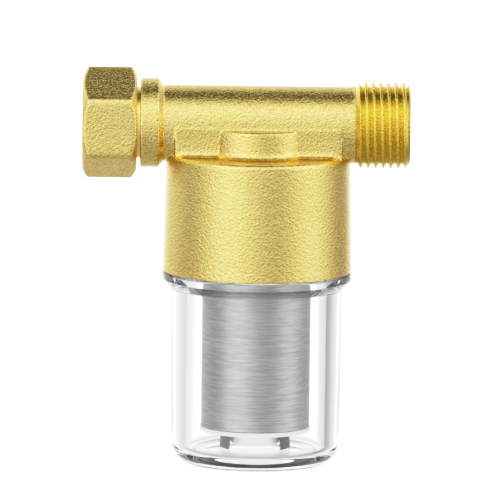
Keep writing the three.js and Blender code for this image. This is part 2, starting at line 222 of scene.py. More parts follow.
def carve(base, *steps):
    """Joins, cuts and intersects closed meshes: steps are (operation, mesh)."""
    made = []

    def scratch(mesh):
        me = bpy.data.meshes.new("scratch")
        me.from_pydata(np.asarray(mesh[0]).tolist(), [], mesh[1])
        me.update()
        o = bpy.data.objects.new("scratch", me)
        bpy.context.scene.collection.objects.link(o)
        made.append(o)
        return o

    a = scratch(base)
    for op, mesh in steps:
        b = scratch(mesh)
        m = a.modifiers.new("cut", "BOOLEAN")
        m.operation = op
        m.solver = "MANIFOLD"
        m.object = b
    bpy.context.view_layer.update()
    ev = a.evaluated_get(bpy.context.evaluated_depsgraph_get())
    me = ev.to_mesh()
    v = np.zeros(len(me.vertices) * 3)
    me.vertices.foreach_get("co", v)
    f = [tuple(p.vertices) for p in me.polygons]
    ev.to_mesh_clear()
    for o in made:
        me = o.data
        bpy.data.objects.remove(o)
        bpy.data.meshes.remove(me)
    return v.reshape(-1, 3), f


# ------------------------------------------------------------------ cast shapes as distance fields
def poly_distance(px, py, poly):
    """Signed distance to a closed polygon, negative inside."""
    p = np.asarray(poly, float)
    d = np.full(px.shape, 1e9)
    s = np.ones(px.shape)
    n = len(p)
    for i in range(n):
        a, b = p[i], p[(i - 1) % n]
        ex, ey = b - a
        wx, wy = px - a[0], py - a[1]
        h = np.clip((wx * ex + wy * ey) / (ex * ex + ey * ey), 0, 1)
        bx, by = wx - ex * h, wy - ey * h
        d = np.minimum(d, bx * bx + by * by)
        c1 = py >= a[1]
        c2 = py < b[1]
        c3 = ex * wy > ey * wx
        flip = (c1 & c2 & c3) | (~c1 & ~c2 & ~c3)
        s = np.where(flip, -s, s)
    return s * np.sqrt(d)


def rounded_poly(px, py, poly, r):
    """The polygon with its outside corners rounded to r; the polygon is given at full size."""
    return poly_distance(px, py, inset(poly, r)) - r


def inset(poly, r):
    p = np.asarray(poly, float)
    area = 0.5 * np.sum(p[:, 0] * np.roll(p[:, 1], -1) - np.roll(p[:, 0], -1) * p[:, 1])
    if area < 0:
        p = p[::-1]
    out = []
    n = len(p)
    for i in range(n):
        a, b, c = p[i - 1], p[i], p[(i + 1) % n]
        d1 = (b - a) / np.linalg.norm(b - a)
        d2 = (c - b) / np.linalg.norm(c - b)
        n1, n2 = np.array([-d1[1], d1[0]]), np.array([-d2[1], d2[0]])
        k = 1 + float(np.dot(n1, n2))
        out.append(b + (n1 + n2) * r / max(k, 0.2))
    return np.array(out)


def box_distance(x, y, z, c, h, r):
    qx, qy, qz = np.abs(x - c[0]) - (h[0] - r), np.abs(y - c[1]) - (h[1] - r), np.abs(z - c[2]) - (h[2] - r)
    out = np.sqrt(np.maximum(qx, 0) ** 2 + np.maximum(qy, 0) ** 2 + np.maximum(qz, 0) ** 2)
    return out + np.minimum(np.maximum(qx, np.maximum(qy, qz)), 0) - r


def smooth_union(a, b, k):
    """Circular fillet of radius about k where two fields meet."""
    h = np.maximum(k - np.abs(a - b), 0.0)
    return np.minimum(a, b) - h * h * 0.25 / k


def smooth_cut(a, b, k):
    return -smooth_union(-a, -b, k)


def surface(field, lo, hi, step):
    """Closed quad mesh of field == 0, with its points moved onto the exact surface."""
    blk = 4
    nb = [int(math.ceil((hi[i] - lo[i]) / step / blk)) + 1 for i in range(3)]
    n = [m * blk for m in nb]
    cx, cy, cz = np.meshgrid(*[lo[i] + step * (blk * np.arange(nb[i]) + (blk - 1) / 2) for i in range(3)], indexing="ij")
    coarse = field(cx, cy, cz)
    g = np.repeat(np.repeat(np.repeat(coarse, blk, 0), blk, 1), blk, 2).astype(np.float32)
    near = np.argwhere(np.abs(coarse) < step * (1.7321 * (blk - 1) / 2 + 1.2))   # only blocks near the surface need every point
    inner = np.argwhere(np.ones((blk,) * 3, bool))
    for i in range(0, len(near), 20000):
        p = (near[i:i + 20000, None, :] * blk + inner[None]).reshape(-1, 3)
        q = lo + step * p
        g[tuple(p.T)] = field(q[:, 0], q[:, 1], q[:, 2])
    inside = g < 0
    corner = np.zeros([m - 1 for m in n], np.uint8)
    for k, (dx, dy, dz) in enumerate(((0, 0, 0), (1, 0, 0), (0, 1, 0), (1, 1, 0), (0, 0, 1), (1, 0, 1), (0, 1, 1), (1, 1, 1))):
        corner |= (inside[dx:n[0] - 1 + dx, dy:n[1] - 1 + dy, dz:n[2] - 1 + dz].astype(np.uint8) << k)
    cells = np.argwhere((corner != 0) & (corner != 255))
    ident = -np.ones(corner.shape, np.int64)
    ident[tuple(cells.T)] = np.arange(len(cells))
    total = np.zeros((len(cells), 3))
    count = np.zeros(len(cells))
    offs = [(0, 0, 0), (1, 0, 0), (0, 1, 0), (1, 1, 0), (0, 0, 1), (1, 0, 1), (0, 1, 1), (1, 1, 1)]
    for a in range(8):
        for b in range(a + 1, 8):
            da, db = np.array(offs[a]), np.array(offs[b])
            if np.abs(da - db).sum() != 1:
                continue
            ga = g[tuple((cells + da).T)]
            gb = g[tuple((cells + db).T)]
            hit = (ga < 0) != (gb < 0)
            t = np.where(hit, ga / np.where(hit, ga - gb, 1), 0)
            p = (cells + da) + (db - da) * t[:, None]
            total[hit] += p[hit]
            count[hit] += 1
    verts = np.array(lo) + step * total / count[:, None]
    quads = []
    for ax in range(3):
        u, v = (ax + 1) % 3, (ax + 2) % 3
        sa = [slice(None)] * 3
        sb = [slice(None)] * 3
        sa[ax], sb[ax] = slice(0, n[ax] - 1), slice(1, n[ax])
        a_in, b_in = inside[tuple(sa)], inside[tuple(sb)]
        edges = np.argwhere(a_in != b_in)
        ok = (edges[:, u] > 0) & (edges[:, v] > 0) & (edges[:, u] < n[u] - 1) & (edges[:, v] < n[v] - 1)
        edges = edges[ok]
        eu, ev = np.zeros(3, int), np.zeros(3, int)
        eu[u], ev[v] = 1, 1
        q = np.stack([ident[tuple((edges - d).T)] for d in (eu + ev, ev, 0 * eu, eu)], 1)
        flip = ~a_in[tuple(edges.T)]
        q[flip] = q[flip][:, ::-1]
        quads.append(q)
    quads = np.concatenate(quads)
    for _ in range(5):             # Newton steps onto the surface
        e = 0.02
        x, y, z = verts[:, 0], verts[:, 1], verts[:, 2]
        f = field(x, y, z)
        gr = np.stack([field(x + e, y, z) - field(x - e, y, z), field(x, y + e, z) - field(x, y - e, z),
                       field(x, y, z + e) - field(x, y, z - e)], 1) / (2 * e)
        n2 = np.maximum((gr * gr).sum(1), 0.2)
        move = gr * (f / n2)[:, None]
        size = np.linalg.norm(move, axis=1)
        verts = verts - move * np.minimum(1, 0.5 * step / np.maximum(size, 1e-9))[:, None]
    return outward(verts, [tuple(q) for q in quads.tolist()])


def casting_field(x, y, z):
    rho = np.sqrt(y * y + z * z)
    pipe = rounded_poly(x, rho, [(COLLAR_X0, -5), (COLLAR_X0, COLLAR_R), (COLLAR_X1, COLLAR_R), (TUBE_X0, TUBE_R),
                                 (TUBE_X1, TUBE_R), (TUBE_X1, -5)], 0.35)
    web = box_distance(x, y, z, (0, 0, -4.6), (20.2, 9.25, 4.6), 0.45)
    rz = np.sqrt(x * x + y * y)
    boss = rounded_poly(rz, z, [(-5, -12), (13.4, -12), (13.35, SHOULDER), (13.1, -0.5), (-5, -0.5)], 0.7)
    cup = rounded_poly(rz, z, [(-5, CUP_RIM - 3), (23.03, CUP_RIM - 3), (22.3, SHOULDER), (-5, SHOULDER)], 1.1)
    cup = -smooth_union(-cup, z - CUP_RIM, 0.25)
    # the wide fillet runs along the web's front and back only; its ends and the pipe meet the cup sharply
    foot = 0.6 + 1.5 * np.clip((19.9 - np.abs(x)) / 1.6, 0, 1)
    body = np.minimum(smooth_union(smooth_union(pipe, web, 0.5), cup, 0.6), smooth_union(web, cup, foot))
    return np.minimum(body, smooth_union(boss, cup, 2.0))


def hex_distance(y, z, apothem, k):
    a = np.abs(y) - apothem
    b = np.abs(0.5 * y + 0.8660254 * z) - apothem
    c = np.abs(0.5 * y - 0.8660254 * z) - apothem
    d = -smooth_union(-a, -b, k)
    return -smooth_union(-d, -c, k)


def nut_field(x, y, z):
    rho = np.sqrt(y * y + z * z)
    turned_part = rounded_poly(x, rho, [(NUT_X0, -5), (NUT_X0, 11.55), (NUT_X0 + 1.3, 13.65), (NUT_X1 - 1.3, 13.65),
                                        (NUT_X1, 11.55), (NUT_X1, -5)], 0.3)
    return -smooth_union(-hex_distance(y, z, 12.0, 0.5), -turned_part, 0.45)


# ------------------------------------------------------------------ materials
def material(name):
    m = bpy.data.materials.new(name)
    m.use_nodes = True
    nt = m.node_tree
    nt.nodes.clear()
    out = nt.nodes.new("ShaderNodeOutputMaterial")
    bsdf = nt.nodes.new("ShaderNodeBsdfPrincipled")
    nt.links.new(bsdf.outputs[0], out.inputs["Surface"])
    coord = nt.nodes.new("ShaderNodeTexCoord")
    return m, nt, bsdf, coord.outputs["Object"]


def node(nt, kind, inputs=None, **props):
    n = nt.nodes.new(kind)
    for k, v in props.items():
        setattr(n, k, v)
    for k, v in (inputs or {}).items():
        s = n.inputs[k]
        if isinstance(v, bpy.types.NodeSocket):
            nt.links.new(v, s)
        else:
            s.default_value = v
    return n


def noise(nt, vec, scale, detail=2.0, rough=0.5, distortion=0.0, stretch=None):
    if stretch:
        vec = node(nt, "ShaderNodeMapping", {"Vector": vec, "Scale": stretch}).outputs[0]
    return node(nt, "ShaderNodeTexNoise", {"Vector": vec, "Scale": scale, "Detail": detail, "Roughness": rough,
                                            "Distortion": distortion}).outputs["Fac"]


def remap(nt, value, a, b, c, d):
    return node(nt, "ShaderNodeMapRange", {"Value": value, "From Min": a, "From Max": b, "To Min": c, "To Max": d}).outputs[0]


def maths(nt, op, a, b=0.0, clamp=False):
    return node(nt, "ShaderNodeMath", {0: a, 1: b}, operation=op, use_clamp=clamp).outputs[0]


def mix_colour(nt, fac, a, b):
    n = node(nt, "ShaderNodeMix", data_type="RGBA")
    for k, v in (("Factor", fac), ("A", a), ("B", b)):
        s = next(i for i in n.inputs if i.name == k and (i.type == "RGBA") == (k != "Factor") and i.enabled)
        if isinstance(v, bpy.types.NodeSocket):
            nt.links.new(v, s)
        else:
            s.default_value = v
    return next(o for o in n.outputs if o.type == "RGBA" and o.enabled)


def bump(nt, bsdf, height, distance, strength=1.0, after=None):
    inputs = {"Height": height, "Distance": distance, "Strength": strength}
    if after is not None:
        inputs["Normal"] = after
    n = node(nt, "ShaderNodeBump", inputs)
    nt.links.new(n.outputs[0], bsdf.inputs["Normal"])
    return n.outputs[0]


def brass_cast(name, light, deep, scale=2050.0, depth=0.000125, rough=(0.07, 0.11), cavity=1.1, shift=0.0002):
    """Blasted cast skin: a fine leathery relief. Its colour holds painted shade in the hollows, painted light on the
    tops and on each grain's upward slope, and a broad random tone.
    """
    m, nt, bsdf, obj = material(name)
    warp = noise(nt, obj, scale, 1.5, 0.5, 0.7)
    fine = noise(nt, obj, scale * 2.4, 1.0, 0.5, 0.3)
    broad = noise(nt, obj, 90.0, 3.0, 0.55)
    h = maths(nt, "ADD", warp, maths(nt, "MULTIPLY", fine, 0.15))
    bump(nt, bsdf, h, depth)
    # tone follows the relief's height: painted shade in its hollows and painted light on its tops, with a broad random
    # tone added
    tone = maths(nt, "ADD", maths(nt, "MULTIPLY", h, 0.9), maths(nt, "MULTIPLY", broad, 0.2))
    # each grain's upward slope is lighter and its downward slope darker: light from above, held in the colour
    above = noise(nt, node(nt, "ShaderNodeVectorMath", {0: obj, 1: (0.0, 0.0, 0.5 * shift)}, operation="ADD").outputs[0], scale, 1.5, 0.5, 0.7)
    below = noise(nt, node(nt, "ShaderNodeVectorMath", {0: obj, 1: (0.0, 0.0, -0.5 * shift)}, operation="ADD").outputs[0], scale, 1.5, 0.5, 0.7)
    slope = remap(nt, maths(nt, "SUBTRACT", below, above), -0.185, 0.155, 0.0, 1.0)
    # grain is the colour mix: two thirds painted light from above, one third the painted shade and light of tone
    grain = maths(nt, "ADD", maths(nt, "MULTIPLY", slope, 0.66), maths(nt, "MULTIPLY", remap(nt, tone, 0.46, 0.78, 0.0, 1.0), 0.34))
    # low is the painted-shade end of the colour and high the painted-light end; cavity sets how far both move from the
    # given colours
    low = tuple(c * (1 - f * cavity) for c, f in zip(deep, (0.40, 0.43, 0.50)))
    high = tuple(min(1.0, c * (1 + f * cavity)) for c, f in zip(light, (0.12, 0.24, 0.34)))
    nt.links.new(mix_colour(nt, grain, (*low, 1), (*high, 1)), bsdf.inputs["Base Color"])
    nt.links.new(remap(nt, fine, 0.3, 0.7, rough[1], rough[0]), bsdf.inputs["Roughness"])
    bsdf.inputs["Metallic"].default_value = 1.0
    bsdf.inputs["Specular Tint"].default_value = (0.96, 0.90, 0.76, 1.0)      # brass keeps its colour at a grazing angle
    return m


def machined(name, light, deep, rough=(0.12, 0.2), axis="x", ridge=2600.0, depth=0.000012):
    m, nt, bsdf, obj = material(name)
    stretch = {"x": (1.0, 0.06, 0.06), "z": (0.06, 0.06, 1.0)}[axis]
    lines = noise(nt, obj, ridge, 2.0, 0.6, 0.0, stretch)
    patch = noise(nt, obj, 260.0, 3.0, 0.5)
    bump(nt, bsdf, lines, depth)
    nt.links.new(mix_colour(nt, remap(nt, patch, 0.35, 0.65, 0.0, 1.0), (*deep, 1), (*light, 1)), bsdf.inputs["Base Color"])
    nt.links.new(remap(nt, lines, 0.3, 0.7, rough[0], rough[1]), bsdf.inputs["Roughness"])
    bsdf.inputs["Metallic"].default_value = 1.0
    return m


def plastic(name, light, deep, rough=(0.3, 0.42), depth=0.000015, scale=900.0, spec=0.5, sss=0.0):
    m, nt, bsdf, obj = material(name)
    grain = noise(nt, obj, scale, 3.0, 0.55)
    broad = noise(nt, obj, 120.0, 2.0, 0.5)
    bump(nt, bsdf, grain, depth)
    nt.links.new(mix_colour(nt, remap(nt, broad, 0.35, 0.65, 0.0, 1.0), (*deep, 1), (*light, 1)), bsdf.inputs["Base Color"])
    nt.links.new(remap(nt, grain, 0.3, 0.7, rough[0], rough[1]), bsdf.inputs["Roughness"])
    bsdf.inputs["Specular IOR Level"].default_value = spec
    if sss:
        bsdf.inputs["Subsurface Weight"].default_value = sss
        bsdf.inputs["Subsurface Radius"].default_value = (0.0012, 0.0011, 0.001)
    return m


def clear_plastic(name):
    m, nt, bsdf, obj = material(name)
    flow = noise(nt, obj, 55.0, 1.0, 0.4)
    bump(nt, bsdf, flow, 0.00002, 0.6)
    nt.links.new(mix_colour(nt, remap(nt, flow, 0.3, 0.7, 0.0, 1.0), (0.985, 0.99, 0.995, 1), (1.0, 1.0, 1.0, 1)), bsdf.inputs["Base Color"])
    nt.links.new(remap(nt, noise(nt, obj, 400.0, 2.0, 0.5), 0.3, 0.7, 0.0, 0.012), bsdf.inputs["Roughness"])
    bsdf.inputs["IOR"].default_value = 1.49
    bsdf.inputs["Transmission Weight"].default_value = 1.0
    return m


def gauze(name):
    """Fine wires wound round the tube: streaks run far round it and are short in height."""
    m, nt, bsdf, obj = material(name)
    long_streak = noise(nt, obj, 3000.0, 1.0, 0.55, 0.0, (0.02, 0.02, 1.0))
    streak = noise(nt, obj, 3800.0, 1.0, 0.6, 0.0, (0.075, 0.075, 1.0))
    broad = noise(nt, obj, 520.0, 1.0, 0.5, 0.0, (0.08, 0.08, 1.0))
    tone = maths(nt, "ADD", maths(nt, "MULTIPLY", long_streak, 0.33), maths(nt, "MULTIPLY", streak, 0.55))
    tone = maths(nt, "ADD", tone, maths(nt, "MULTIPLY", broad, 0.12))
    bump(nt, bsdf, streak, 0.00002)
    nt.links.new(mix_colour(nt, remap(nt, tone, 0.36, 0.64, 0.0, 1.0), (0.33, 0.325, 0.313, 1), (0.52, 0.512, 0.495, 1)), bsdf.inputs["Base Color"])
    nt.links.new(remap(nt, streak, 0.3, 0.7, 0.4, 0.3), bsdf.inputs["Roughness"])
    bsdf.inputs["Metallic"].default_value = 1.0
    return m


BRASS = brass_cast("brass_cast", (1.0, 0.650, 0.196), (0.985, 0.620, 0.178))
NUT_BRASS = brass_cast("brass_forged", (1.0, 0.650, 0.20), (0.985, 0.616, 0.182), scale=2200.0, depth=0.000125, rough=(0.07, 0.11), cavity=1.1)
# The thread's brass has less blue than the casting's: painted reflection, standing for the light bounced between the
# thread flanks.
THREAD_BRASS = brass_cast("brass_thread", (1.0, 0.645, 0.135), (1.0, 0.62, 0.115), scale=2400.0, depth=0.00007, rough=(0.07, 0.13))
TURNED_BRASS = machined("brass_machined", (0.93, 0.67, 0.20), (0.89, 0.63, 0.18))
WIRE = machined("spring_wire", (0.72, 0.73, 0.74), (0.62, 0.63, 0.64))
STAINLESS = machined("stainless_tube", (0.76, 0.77, 0.78), (0.70, 0.71, 0.72), (0.1, 0.18), "z")
NICKEL = machined("nickel_plate", (0.80, 0.79, 0.76), (0.74, 0.73, 0.70), (0.08, 0.16), "z")
POLE = machined("mild_steel", (0.52, 0.53, 0.55), (0.44, 0.45, 0.47), (0.25, 0.35), "z")
WHITE = plastic("white_moulded", (0.95, 0.95, 0.945), (0.92, 0.92, 0.915), (0.22, 0.34))
FERRITE = plastic("ferrite_ground", (0.06, 0.061, 0.063), (0.04, 0.041, 0.043), (0.35, 0.5), 0.00003, 1800.0, 0.6)
RUBBER = plastic("elastomer_black", (0.03, 0.03, 0.033), (0.018, 0.018, 0.02), (0.4, 0.55), 0.00001, 1500.0)
FIBRE = plastic("fibre_sheet", (0.09, 0.10, 0.11), (0.05, 0.055, 0.06), (0.65, 0.85), 0.00006, 1900.0, 0.3)
# The inside of the cup and the face of its rim are a darker grey metal than the brass.
INSIDE_AND_RIM_GREY = machined("inside_and_rim_grey", (0.44, 0.44, 0.43), (0.36, 0.36, 0.355), (0.35, 0.45), "z")
CLEAR = clear_plastic("clear_polycarbonate")
GAUZE = gauze("woven_gauze")


def piece(name, mesh, mat, body, replaces, smooth=32.0, extra=()):
    o = new_object(name, mesh[0], mesh[1], smooth)
    o.data.materials.append(mat)
    for m in extra:
        o.data.materials.append(m)
    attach(o, body)
    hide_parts(*replaces)
    return o


# ------------------------------------------------------------------ head
STEP = 0.28
skin = surface(casting_field, (-30, -24.2, -37.2), (25, 24.2, 12.2), STEP)

G_ROWS = [(0.0, G_MINOR - 0.03), (0.03, G_MINOR), (0.40, G_MAJOR - 0.03), (0.43, G_MAJOR), (0.57, G_MAJOR), (0.60, G_MAJOR - 0.03),
          (0.97, G_MINOR)]
outlet = carve(
    threaded_rod(G_PITCH, G_ROWS, OUT_X0 - 1, OUT_X1 + 1, 128, "x"),
    ("INTERSECT", turned([(0, OUT_X0 - 1.5), (G_MINOR, OUT_X0 - 1.5), (G_MINOR, OUT_X0 - 0.25), (G_MAJOR - 0.05, OUT_X0 + 0.75),
                          (G_MAJOR + 0.4, OUT_X0 + 1.1), (G_MAJOR + 0.4, OUT_X1 - 1.5), (G_MINOR - 0.05, OUT_X1 - 0.02),
                          (G_MINOR - 0.15, OUT_X1), (0, OUT_X1)], 128, "x")))
neck = turned(rounded([(0, NECK_X0), (NECK_R, NECK_X0, 0.4), (NECK_R, -34.5, 0.1), (7.9, -34.5, 0.15), (7.9, -32.7, 0.15),
                       (NECK_R, -32.7, 0.1), (NECK_R, -28.0), (0, -28.0)]), 128, "x")
inlet_bore = turned(rounded([(0, NECK_X0 - 1), (6.45, NECK_X0 - 1), (6.45, NECK_X0), (6.0, NECK_X0 + 0.45), (6.0, -12.8, 0.5), (0, -12.8)]), 96, "x")
outlet_bore = turned(rounded([(0, -5.0), (7.0, -5.0, 1.0), (7.0, OUT_X1 - 0.45), (7.45, OUT_X1), (7.45, OUT_X1 + 1), (0, OUT_X1 + 1)]), 96, "x")


def block(x0, x1, y0, y1, z0, z1):
    v = [(x, y, z) for z in (z0, z1) for y in (y0, y1) for x in (x0, x1)]
    f = [(0, 2, 3, 1), (4, 5, 7, 6), (0, 1, 5, 4), (2, 6, 7, 3), (0, 4, 6, 2), (1, 3, 7, 5)]
    return outward(np.array(v, float), f)


cavity = turned(rounded([(0, -11.5), (17.0, -11.5, 1.2), (17.0, -23.4, 0.1), (19.5, -23.4), (19.5, CUP_RIM + 1.6), (20.8, CUP_RIM + 0.5),
                         (20.8, CUP_RIM - 1), (0, CUP_RIM - 1)]), 160)
centre_bore = turned([(0, -12.2), (11.0, -12.2), (11.0, -11.5), (10.6, -11.1), (10.6, -2.3), (0, -2.3)], 128)


def b_rows(grow):
    lo, hi = B_MINOR + grow, B_MAJOR + grow
    return [(0.0, lo - 0.15), (0.08, lo), (0.40, hi - 0.05), (0.45, hi), (0.55, hi), (0.60, hi - 0.05), (0.92, lo)]


cup_thread = carve(
    threaded_rod(B_PITCH, b_rows(B_GAP - 0.05), -40, -20, 160),
    ("INTERSECT", turned([(0, CUP_RIM - 1), (23, CUP_RIM - 1), (23, -25.4), (19.2, -23.9), (0, -23.9)], 160)))
head = carve(
    skin, ("UNION", neck), ("UNION", outlet), ("DIFFERENCE", inlet_bore), ("DIFFERENCE", outlet_bore),
    ("DIFFERENCE", block(-17.0, -12.8, -5.5, 5.5, -12.2, 0.0)), ("DIFFERENCE", centre_bore), ("DIFFERENCE", cavity),
    ("DIFFERENCE", cup_thread))
body_piece = piece("head_casting", head, BRASS, "casting", ["body_casting"], 38.0, (TURNED_BRASS, THREAD_BRASS, INSIDE_AND_RIM_GREY))


def machine_faces(o, test):
    """Gives the machined material to faces whose centre (mm, from the pipe axis) passes the test."""
    me = o.data
    c = np.zeros(len(me.polygons) * 3)
    me.polygons.foreach_get("center", c)
    c = c.reshape(-1, 3) / MM - np.array([0, 0, PIPE_Z / MM])
    me.polygons.foreach_set("material_index", np.asarray(test(c[:, 0], c[:, 1], c[:, 2])).astype(np.int32))
    me.update()


def turned_faces(x, y, z):
    rho = np.hypot(y, z)
    rz = np.hypot(x, y)
    thread = (x > TUBE_X1 - 0.05) & (rho > 7.6) & (x < OUT_X1 - 0.03)
    pipe_end = (x >= OUT_X1 - 0.03) & (rho < 11) | (x < COLLAR_X0 + 0.03) & (rho < 11)
    bores = (rho < 7.5) & (z > -8.0) & (np.abs(y) < 7.5) | (rz < 10.65) & (z < -2.2) & (z > -11.6)
    inside_cup = (rz < 20.9) & (z < -11.4)
    rim = (z < CUP_RIM + 0.03)
    return np.where(thread, 2, np.where(inside_cup | rim, 3, pipe_end | bores))


machine_faces(body_piece, turned_faces)

ring_section = [(8.75 + 0.72 * math.cos(2 * math.pi * i / 20), 0.72 * math.sin(2 * math.pi * i / 20)) for i in range(20)]
rv, rf = swept_arc(ring_section, 0.2, 2 * math.pi - 0.2, 120)
rv = np.stack([rv[:, 2] - 33.6, rv[:, 1], -rv[:, 0]], 1)
piece("snap_ring", outward(rv, rf), WIRE, "casting", ["nut_snap_ring"], 50)
piece("flat_gasket", turned(rounded([(6.2, -36.2, 0.12), (6.2, -38.1, 0.12), (9.05, -38.1, 0.12), (9.05, -36.2, 0.12)], True, 3), 128, "x", True),
      FIBRE, "casting", ["inlet_gasket"])

# ------------------------------------------------------------------ union nut
nut_skin = surface(nut_field, (NUT_X0 - 0.8, -14.4, -14.4), (NUT_X1 + 0.8, 14.4, 14.4), 0.24)
nut_bore = turned(rounded([(0, NUT_X0 - 1), (G_MAJOR + 0.35, NUT_X0 - 1), (G_MAJOR + 0.35, NUT_X0 + 0.3), (G_MINOR, NUT_X0 + 1.4),
                           (G_MINOR, -35.0), (10.6, -35.0), (10.6, -32.6), (8.9, -32.6), (8.9, NUT_X1 - 0.35), (9.25, NUT_X1),
                           (9.25, NUT_X1 + 1), (0, NUT_X1 + 1)]), 128, "x")
nut_thread = carve(threaded_rod(G_PITCH, G_ROWS, NUT_X0 - 1, -34.0, 128, "x"),
                   ("INTERSECT", turned([(0, NUT_X0 - 0.9), (12, NUT_X0 - 0.9), (12, -34.6), (0, -34.6)], 128, "x")))
nut = piece("union_nut", carve(nut_skin, ("DIFFERENCE", nut_bore), ("DIFFERENCE", nut_thread)), NUT_BRASS, "swivel_nut", ["swivel_nut"],
            38.0, (TURNED_BRASS,))
machine_faces(nut, lambda x, y, z: (np.hypot(y, z) < 10.95))

# ------------------------------------------------------------------ bowl
bowl_profile = rounded([
    (0, -79.1), (17.05, -79.1, 1.6), (17.05, -25.2, 0.3), (B_MINOR, -25.2, 0.4), (B_MINOR, -36.1, 0.3), (22.94, -36.1, 0.3),
    (22.94, -37.75, 0.35), (20.98, -39.85, 0.9)], steps=7)[:-1]
bowl_profile += [p for p in rounded([(22.94, -37.75), (20.98, -39.85, 0.9), (20.45, -76.8)], steps=7)[1:-1]]
for k in range(25):
    t = k / 24 * math.pi / 2
    bowl_profile.append((15.8 + 4.65 * math.cos(t), -76.8 - (-76.8 - BASE) * math.sin(t)))
bowl_profile += [(15.75, BASE), (15.6, BASE + 0.1), (15.5, BASE + 0.7), (15.3, BASE + 0.8), (0, BASE + 0.8)]
wall = turned(bowl_profile, 192)
male = carve(threaded_rod(B_PITCH, b_rows(0.0), -40, -20, 192),
             ("INTERSECT", turned([(18.4, -34.9), (19.1, -34.9), (20.5, -33.7), (20.5, -26.6), (19.1, -25.7), (18.4, -25.7)], 192, "z", True)))
clear_bowl = piece("clear_bowl", carve(wall, ("UNION", male)), CLEAR, "bowl", ["bowl"], 40)
clear_bowl.visible_shadow = False      # light reaches the strainer through the clear wall


def torus(cr, cz, r, n=160, m=20):
    return turned([(cr + r * math.cos(2 * math.pi * i / m), cz + r * math.sin(2 * math.pi * i / m)) for i in range(m)], n, "z", True)


piece("bowl_seal", torus(18.0, -24.3, 0.8), RUBBER, "bowl", ["bowl_oring"], 80)

# ------------------------------------------------------------------ strainer
piece("top_collar", turned(rounded([
    (7.8, -7.5, 0.3), (10.3, -7.5, 0.5), (10.3, -9.0, 0.1), (8.9, -9.0, 0.15), (8.9, -10.9, 0.15), (10.3, -10.9, 0.1), (10.3, -11.8, 0.2),
    (13.6, -11.8, 0.4), (13.6, -13.2, 0.3), (12.5, -13.2, 0.1), (12.5, -15.5, 0.3), (10.8, -15.5, 0.3), (7.8, -13.2, 0.5)], True, 4), 128, "z", True),
      WHITE, "strainer", ["strainer_top_collar"])
piece("collar_seal", torus(9.75, -9.95, 0.75, 128, 16), RUBBER, "strainer", ["strainer_collar_oring"], 80)

# Round weft wires packed one over another, wound on the tube
pitch = 0.26
wires = int(round((-13.35 + 73.5) / pitch))
dz = (-13.35 + 73.5) / wires
outer = []
for i in range(wires):
    z0 = -73.5 + i * dz
    for k in range(4):
        t = k / 4
        outer.append((13.2 - 0.035 * (1 - math.sin(math.pi * (t + 0.125))), z0 + t * dz + (dz * 0.125 if (i or k) else 0.0)))
outer.append((13.15, -13.35))
gz = turned([(12.7, -73.5)] + outer + [(12.7, -13.35)], 144, "z", True)
piece("gauze_tube", gz, GAUZE, "strainer", ["strainer_mesh"], 180)

cage_parts = []
for z in (-16.9, -31.0, -45.0, -59.0, -73.0):
    cage_parts.append(turned(rounded([(11.1, z - 0.5, 0.2), (12.45, z - 0.5, 0.1), (12.45, z + 0.5, 0.1), (11.1, z + 0.5, 0.2)], True, 3), 96, "z", True))
ribs = []
for k in range(6):
    v, f = block(11.2, 12.3, -0.8, 0.8, -73.3, -16.6)
    a = k * math.pi / 3 + math.pi / 6
    rot = np.array([[math.cos(a), -math.sin(a), 0], [math.sin(a), math.cos(a), 0], [0, 0, 1]])
    ribs.append((v @ rot.T, f))
cage = carve(cage_parts[0], *[("UNION", p) for p in cage_parts[1:] + ribs])
piece("support_cage", cage, WHITE, "strainer", ["strainer_support_cage"])

piece("end_cap", turned(rounded([
    (0, -73.6), (4.75, -73.6, 0.15), (4.75, -71.4, 0.2), (5.7, -71.4, 0.2), (5.7, -73.6, 0.2), (13.5, -73.6, 0.12), (13.5, -74.7, 0.55),
    (6.0, -74.7, 0.15), (6.0, -78.3, 1.0), (0, -78.3)], steps=6), 160), WHITE, "strainer", ["strainer_bottom_cap"])

for side, x0, x1 in (("right", 6.05, 12.0), ("left", -12.0, -6.05)):
    drum = turned(rounded([(0, -78.95), (8.6, -78.95, 0.2), (8.35, -74.85, 0.2), (0, -74.85)], steps=4), 160)
    half = block(x0, x1, -10, 10, -79.5, -74.0)
    piece(f"ferrite_{side}", carve(drum, ("INTERSECT", half)), FERRITE, "strainer", [f"ferrite_segment_{side}"], 40)

piece("core_sheath", turned(rounded([(4.0, -73.3), (4.5, -73.3, 0.15), (4.5, -31.6, 1.0), (0, -31.6), (0, -32.2), (4.0, -32.2, 0.4)], False, 5)
                            + [(4.0, -73.3)], 96), STAINLESS, "strainer", ["magnet_sheath"])
top = -32.4


def disc(r, a, b, name, mat, node_name):
    piece(name, turned(rounded([(0, a), (r, a, 0.25), (r, b, 0.25), (0, b)], steps=3), 96), mat, "strainer", [node_name])


for k in range(1, 5):
    disc(3.75, top - 8.0, top, f"core_magnet_{k}", NICKEL, f"magnet_{k}")
    top -= 8.1
    if k < 4:
        disc(3.75, top - 2.0, top, f"core_pole_{k}", POLE, f"pole_piece_{k}")
        top -= 2.1
disc(3.75, -73.3, top, "core_plug", WHITE, "magnet_plug")

# ------------------------------------------------------------------ studio
scene = bpy.context.scene
scene.view_settings.view_transform = "Standard"
scene.view_settings.look = "None"
scene.cycles.max_bounces = 32
scene.cycles.transmission_bounces = 32
scene.cycles.glossy_bounces = 16

